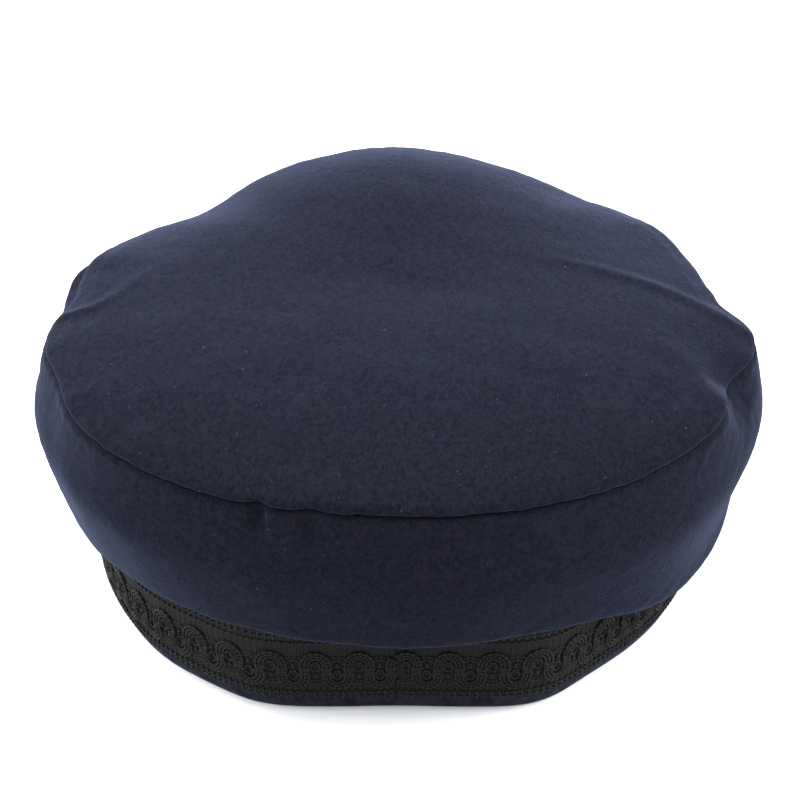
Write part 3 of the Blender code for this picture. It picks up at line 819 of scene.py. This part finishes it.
def braid_place(azimuth, height, proud):
    """Points on the braid's tape, standing proud of the headband."""
    return on_cap(azimuth, BAND_RADIUS + BAND_LEAN * height + GAP + proud, height)


def meander(offset, shift=0.0, share=1.0):
    """One of the parallel cords that wind up and down the braid, as azimuths and heights. The cord's
    heading swings evenly from side to side, which makes round arches and round hollows."""
    phase = math.tau * (np.arange(CORD_REPEATS * CORD_POINTS + 1) / CORD_POINTS) + CORD_START + shift
    heading = MEANDER_SWING * np.cos(phase)
    across, up = np.cumsum(np.cos(heading)), np.cumsum(np.sin(heading))
    across, up = across - across[0], up - 0.5 * (up.max() + up.min())
    scale = math.radians(360.0 - 2.0 * CORD_END) * BAND_RADIUS / across[-1]
    across = across * scale - offset * np.sin(heading)
    up = up * scale * share + offset * np.cos(heading)
    return math.radians(CORD_END) + across / BAND_RADIUS, MEANDER_MIDDLE + up


def braid(cord, tape):
    """The trimming: a ribbed tape whose edges end in picots, and the cords sewn on it."""
    turns = np.radians(np.linspace(BRAID_END, 360.0 - BRAID_END, 6 * PICOT_COUNT + 1))
    heights = np.linspace(BRAID_BOTTOM, BRAID_TOP, 17)
    rib = (0.5 + 0.5 * np.cos(math.tau * turns * BAND_RADIUS / PICOT_PITCH))[:, None]
    edge = smooth_step(np.abs(heights - BRAID_MIDDLE) / (BRAID_TOP - BRAID_MIDDLE), 0.86, 1.0)
    proud = TAPE_THICKNESS - 0.00030 * edge + 0.00022 * rib * (1.0 - 0.5 * edge)
    scalloped = heights - np.sign(heights - BRAID_MIDDLE) * edge * 0.00055 * (1.0 - rib)
    outer = braid_place(turns[:, None], scalloped, proud)
    inner = braid_place(turns[:, None], scalloped, 0.0)
    made = strip_piece("braid_tape", np.concatenate([outer, inner[:, ::-1]], 1), turns,
                       heights, False, tape)
    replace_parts(made, "braid_trim")

    for index, place in enumerate((-1.0, 0.0, 1.0)):
        path = braid_place(*meander(place * CORD_SPACING), 0.00125 + 0.00008 * index)
        tubes_piece(f"braid_cord_{index + 1}", [path], CORD_RADIUS, cord)
    under = [braid_place(*meander(place * CORD_SPACING, math.pi, UNDER_CORDS_SHARE), 0.00095)
             for place in (-0.5, 0.5)]
    tubes_piece("braid_under_cords", under, CORD_RADIUS * 0.9, cord)
    braid_eyes(cord)
    braid_edges(cord)


def braid_eyes(cord):
    """A small ring of cord and a knot inside each arch and each hollow, and a rosette between them."""
    azimuth, height = meander(0.0)
    rise = height - MEANDER_MIDDLE
    rings, knots, petals = [], [], []
    around = math.tau * np.arange(14) / 14
    for sign in (1.0, -1.0):
        swing = sign * rise
        for peak in np.flatnonzero((swing[1:-1] > swing[:-2]) & (swing[1:-1] >= swing[2:])) + 1:
            level = MEANDER_MIDDLE + sign * (swing[peak] - EYE_INSET)
            rings.append(braid_place(azimuth[peak] + EYE_RADII[0] * np.cos(around) / BAND_RADIUS,
                                     level + EYE_RADII[1] * np.sin(around), 0.0011))
            knots.append(braid_place(azimuth[peak], level + np.linspace(*KNOT_SPAN, 5) * sign, 0.0011))
    tubes_piece("braid_eyes", rings, EYE_CORD, cord, closed=True)
    spread = np.linspace(*PETAL_SPAN, 5)
    for crossing in np.flatnonzero(rise[1:] * rise[:-1] <= 0.0):
        for turn in math.tau * (np.arange(4) + 0.5) / 4.0:
            petals.append(braid_place(azimuth[crossing] + spread * np.cos(turn) / BAND_RADIUS,
                                      MEANDER_MIDDLE + spread * np.sin(turn), 0.00150))
    tubes_piece("braid_rosettes", petals, PETAL_RADII, cord)
    tubes_piece("braid_knots", knots, KNOT_RADII, cord)


def braid_edges(cord):
    """Thin wavy cords along the braid's edges, and the picots that cross them."""
    turns = np.radians(np.linspace(0.4, 359.6, 6 * PICOT_COUNT))
    wave = 0.00035 * np.sin(math.tau * turns * BAND_RADIUS / PICOT_PITCH)
    paths = [braid_place(turns, level + wave, 0.00105)
             for level in (BRAID_BOTTOM + 0.0024, BRAID_TOP - 0.0024, BRAID_TOP - 0.0046)]
    tubes_piece("braid_edge_cords", paths, EDGE_CORD, cord)
    picots = []
    for turn in np.radians(np.linspace(0.7, 359.3, PICOT_COUNT - 2)):
        for foot, top in PICOT_SPANS:
            levels = np.linspace(foot, top, 5)
            proud = 0.00095 + 0.0002 * bump(levels, 0.5 * (foot + top), 0.001)
            picots.append(braid_place(turn, levels, proud))
    tubes_piece("braid_picots", picots, PICOT_RADII, cord)


def inward(turn, amount):
    """Moves of that size towards the cap's axis."""
    turn, amount = np.broadcast_arrays(turn, amount)
    return np.stack([-amount * np.sin(turn), amount * np.cos(turn), 0.0 * amount], -1)


def sweatband(ribbon):
    """The inner ribbon that rests on the head. Its upper edge is loose and a little wavy."""
    foot = BAND_RADIUS - BAND_FOLD - GAP
    face = np.vstack([
        leaning_line(foot, 0.0008, BAND_TURN_TOP + 0.0005, 6),
        curve_through([leaning(foot, BAND_TURN_TOP + 0.0008),
                       leaning(SWEATBAND_RADIUS - 0.0016, BAND_TURN_TOP + 0.0026),
                       leaning(SWEATBAND_RADIUS, BAND_TURN_TOP + 0.0048)], 4),
        leaning_line(SWEATBAND_RADIUS, BAND_TURN_TOP + 0.0060, SWEATBAND_TOP, 12),
    ])

    def loose(turn, height):
        waves = np.maximum(0.0006 + ripple(turn, 31, (7, 12, 19, 31), 0.00055), 0.0)
        return inward(turn, smooth_step(height, LOOSE_HEIGHT, SWEATBAND_TOP) * waves)

    made = swept_shell("ribbon_sweatband", face, SWEATBAND_CLOTH, ribbon, SWEATBAND_END,
                       360.0 - SWEATBAND_END, FINE_STEPS, relief=loose)
    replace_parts(made, "sweatband")


# Lining, labels and thread --------------------

LINING_TOP = SIDE_EDGE - CLOTH - 0.0015
LINING_FOOT = JOIN_RADIUS - GAP - BAND_CLOTH - 0.0012
PLEATS = 44
PLEAT_DEPTH = 0.0021
LABEL_HALF_X = 0.030
LABEL_HALF_Y = 0.018
LABEL_CORNER = 0.0025
LABEL_CLOTH = 0.0005
LABEL_CELLS = 40
LABEL_INSET = 0.0014  # of its stitches
LABEL_ROUNDING = 0.00012  # how much thinner the label is at its rim
SMALL_LABEL_CLOTH = 0.0004
# name, node, first and last azimuth in degrees, and foot
SMALL_LABELS = (("blank_size_label", "size_label", 18.0, 27.0, 0.0210),
                ("blank_care_label", "care_label", 36.0, 54.0, 0.0150))


def lining(satin):
    """The lining bag: a round top and a side that is gathered in small pleats at its foot."""
    outline = plain_disc(TURN_RADIUS + 0.0005, LINING_TOP, LINING)
    made = disc_shell("satin_lining_tip", outline, satin)
    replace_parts(made, "lining_tip")
    face = np.vstack([
        leaning_line(LINING_FOOT, BAND_TOP + 0.0010, JOIN_TOP - 0.0008, 6, 0.0),
        curve_through([
            (LINING_FOOT, JOIN_TOP + 0.0008),
            (LINING_FOOT + 0.0080, JOIN_TOP + 0.0045),
            (BULGE_RADIUS - 0.0068, LIP_HEIGHT + 0.0245),
            (BULGE_RADIUS - 0.0078, RIM_HEIGHT - 0.0115),
            (TURN_RADIUS, LINING_TOP - LINING - 2.0 * GAP),
        ], 8),
    ])

    def pleated(turn, height):
        fold = np.maximum(0.0, np.sin(PLEATS * turn + 1.2 * np.sin(3.0 * turn))) ** 1.5
        crease = np.maximum(0.0, ripple(turn + 3.0 * height, 41, (17, 25, 34), 0.0008))
        foot = 1.0 - smooth_step(height, BAND_TOP + 0.006, RIM_HEIGHT - 0.010)
        return inward(turn, PLEAT_DEPTH * fold * foot + crease * bump(height, 0.060, 0.014))

    made = swept_shell("satin_lining_side", face, LINING, satin, steps=FINE_STEPS, relief=pleated)
    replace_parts(made, "lining_side")


def corner_inset(value, other, half, other_half):
    """How far a point of a rectangle is drawn in along one axis to round the rectangle's corners."""
    over = np.maximum(np.abs(value) - half + LABEL_CORNER, 0.0) / LABEL_CORNER
    over_other = np.maximum(np.abs(other) - other_half + LABEL_CORNER, 0.0) / LABEL_CORNER
    return np.sign(value) * LABEL_CORNER * over * (1.0 - np.sqrt(1.0 - 0.5 * over_other ** 2))


def lining_label(satin, thread):
    """A blank label under the lining's top, with rounded corners, sewn down along its edge."""
    top = LINING_TOP - LINING - GAP
    side = LABEL_CELLS + 1
    u, v = np.meshgrid(np.linspace(-1.0, 1.0, side), np.linspace(-1.0, 1.0, side), indexing="ij")
    x, y = u * LABEL_HALF_X, v * LABEL_HALF_Y
    x = x - corner_inset(x, y, LABEL_HALF_X, LABEL_HALF_Y)
    y = y - corner_inset(y, u * LABEL_HALF_X, LABEL_HALF_Y, LABEL_HALF_X)
    thin = LABEL_ROUNDING * (np.maximum(np.abs(u), np.abs(v)) > 0.999)
    layers = [np.stack([x, y, raised(x, y, level)], -1) for level in (top - thin, top - LABEL_CLOTH + thin)]
    points = np.concatenate([layer.reshape(-1, 3) for layer in layers])
    faces, _ = grid_faces(side, side)
    total = side * side
    border = np.array([*range(0, total - side, side), *range(total - side, total - 1),
                       *range(total - 1, side - 1, -side), *range(side - 1, 0, -1)])
    after = np.roll(border, -1)
    rim_faces = np.stack([border, border + total, after + total, after], -1)
    parts = [(part, points[part][..., :2]) for part in (faces, faces[:, ::-1] + total, rim_faces)]
    made = add_piece("blank_lining_label", points, parts, satin)
    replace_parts(made, "lining_label")

    corners = (np.array([(-1, -1), (1, -1), (1, 1), (-1, 1)])
               * (LABEL_HALF_X - LABEL_INSET, LABEL_HALF_Y - LABEL_INSET))
    paths = []
    for start, end in zip(corners, np.roll(corners, -1, axis=0)):
        count = round(np.hypot(*(end - start)) / 0.0024)
        for stitch in range(count):
            share = (stitch + np.linspace(0.14, 0.86, 5)) / count
            x, y = (start[None] + (end - start)[None] * share[:, None]).T
            dip = 0.00022 * np.abs(np.linspace(-1.0, 1.0, 5)) ** 2
            paths.append(np.stack([x, y, raised(x, y, top - LABEL_CLOTH - LABEL_ROUNDING + dip)], -1))
    tubes_piece("lining_label_stitches", paths, 0.00020, thread, sides=5)


def band_labels(satin):
    """A blank size label and a blank care label, caught behind the sweatband's loose edge."""
    above = SWEATBAND_RADIUS - SWEATBAND_CLOTH - GAP

    def loose(turn, height):
        return inward(turn, 0.0024 * smooth_step(height, LOOSE_HEIGHT, SWEATBAND_TOP) + 0.0004)

    for name, node, start, end, foot in SMALL_LABELS:
        face = leaning_line(above, foot, SWEATBAND_TOP + 0.0020, 12)
        made = swept_shell(name, face, SMALL_LABEL_CLOTH, satin, start, end, 24, relief=loose)
        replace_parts(made, node)


def stitches(name, paths, thread):
    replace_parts(tubes_piece(name, paths, THREAD / 2.0, thread), name.replace("stitches", "thread"))


def stitched_ring(name, radius, height, pitch, thread, dip=0.0):
    """A row of stitches round the cap. Each one's ends may dip into the cloth."""
    count = round(math.tau * radius / pitch)
    paths = []
    for stitch in range(count):
        turns = math.tau * (stitch + np.linspace(0.10, 0.90, 6)) / count
        sink = dip * np.abs(np.linspace(-1.0, 1.0, 6)) ** 2.5
        paths.append(on_cap(turns, radius - sink, height))
    stitches(name, paths, thread)


def threads(thread):
    """The rows of stitching."""
    clear = GAP + THREAD / 2.0
    stitched_ring("tip_seam_stitches", RIM_RADIUS - 0.0050, SIDE_EDGE - CLOTH - clear, 0.0030, thread)
    stitched_ring("band_join_stitches", JOIN_RADIUS - GAP - BAND_CLOTH - clear, BAND_TOP + 0.0040, 0.0032,
                  thread)
    braid_face = BAND_RADIUS + GAP + 0.0010
    for name, height in (("braid_stitches_lower", BRAID_BOTTOM + 0.0012),
                         ("braid_stitches_upper", BRAID_TOP - 0.0012)):
        stitched_ring(name, *leaning(braid_face, height), 0.0026, thread, STITCH_DIP)
    sweatband_face = BAND_RADIUS - BAND_FOLD - GAP - SWEATBAND_CLOTH - 0.0001
    stitched_ring("sweatband_stitches", *leaning(sweatband_face, 0.0026), 0.0028, thread, -STITCH_DIP)
    stitched_ring("lining_seam_stitches", TURN_RADIUS - 0.0030, LINING_TOP - LINING - clear, 0.0030, thread)

    inner = cloth_back(side_face(), CLOTH + clear)
    inner = inner[(inner[:, 0] > BAND_RADIUS + 0.010) & (inner[:, 1] > LIP_HEIGHT + 0.0045)
                  & (inner[:, 1] < RIM_HEIGHT - 0.0085)]
    along = lengths_along(inner)
    starts = np.arange(0.0, along[-1] - 0.0026, 0.0030)
    spots = starts[:, None] + np.linspace(0.0, 0.0024, 6)
    radii, heights = (np.interp(spots, along, values) for values in inner.T)
    for side, azimuth in (("left", -SEAM_ANGLE), ("right", SEAM_ANGLE)):
        stitches(f"side_seam_stitches_{side}", on_cap(math.radians(azimuth), radii, heights), thread)


# The studio --------------------

def studio():
    """A pale floor, a white surround, large soft lights, and the camera behind and above the cap."""
    scene = bpy.context.scene
    scene.view_settings.view_transform = "Standard"
    camera = new_object("camera", bpy.data.cameras.new("camera"))
    camera.data.lens = CAMERA_LENS
    camera.data.shift_y = CAMERA_SHIFT
    elevation = math.radians(CAMERA_ELEVATION)
    camera.location = (0.0, -CAMERA_DISTANCE * math.cos(elevation),
                       CAMERA_TARGET_HEIGHT + CAMERA_DISTANCE * math.sin(elevation))
    camera.rotation_euler = (math.pi / 2.0 - elevation, 0.0, 0.0)
    camera.data.clip_start = 0.05
    scene.camera = camera

    mesh = bpy.data.meshes.new("floor")
    low, high = -FLOOR_HALF_SIZE, FLOOR_HALF_SIZE
    mesh.from_pydata([(low, low, 0), (high, low, 0), (high, high, 0), (low, high, 0)], [], [(0, 1, 2, 3)])
    floor = new_object("floor", mesh)
    paper = Finish("white_paper", 0.9, specular=0.1)
    mesh.materials.append(paper.done(paper.mix(paper.noise(60.0, 3.0), *PAPER_WHITES)))

    world = bpy.data.worlds.new("surround")
    scene.world = world
    world.use_nodes = True
    background = world.node_tree.nodes["Background"]
    background.inputs["Color"].default_value = SURROUND
    background.inputs["Strength"].default_value = 1.0

    for name, place, size, power in LIGHTS:
        lamp = bpy.data.lights.new(name, "AREA")
        lamp.shape = "RECTANGLE"
        lamp.size, lamp.size_y = size
        lamp.energy = power
        made = new_object(name, lamp)
        made.location = place
        x, y, z = np.array(place) - LIGHTS_AIM
        made.rotation_euler = (math.atan2(math.hypot(x, y), z), 0.0, math.atan2(x, -y))
        made.visible_camera = False


def main():
    studio()
    wool = wool_material("felted_wool")
    thread = twisted_material("sewing_thread", 0.6, 0.0012, THREAD_NAVIES, 0.00005, sheen=0.1,
                              sheen_roughness=0.4, specular=0.15)
    cord = twisted_material("braid_cord", 0.66, 0.0011, CORD_BLACKS, 0.00012, fuzz=0.00005, sheen=0.01,
                            sheen_roughness=0.5, specular=0.06)
    label = label_material()
    satin = satin_material()
    interlining(canvas_material("interlining_canvas", CANVAS_BEIGES, 1400.0))
    crown_tip(wool)
    # The headband's wool is painted lighter in patches: painted light from the floor below
    headband(wool_material("wool_painted_lighter", 0.22))
    crown_sides(wool)
    stiffener(canvas_material("buckram", BUCKRAM_BEIGES, 1000.0))
    braid(cord, tape_material())
    sweatband(sweatband_material())
    lining(satin)
    lining_label(label, thread)
    band_labels(label)
    threads(thread)


main()
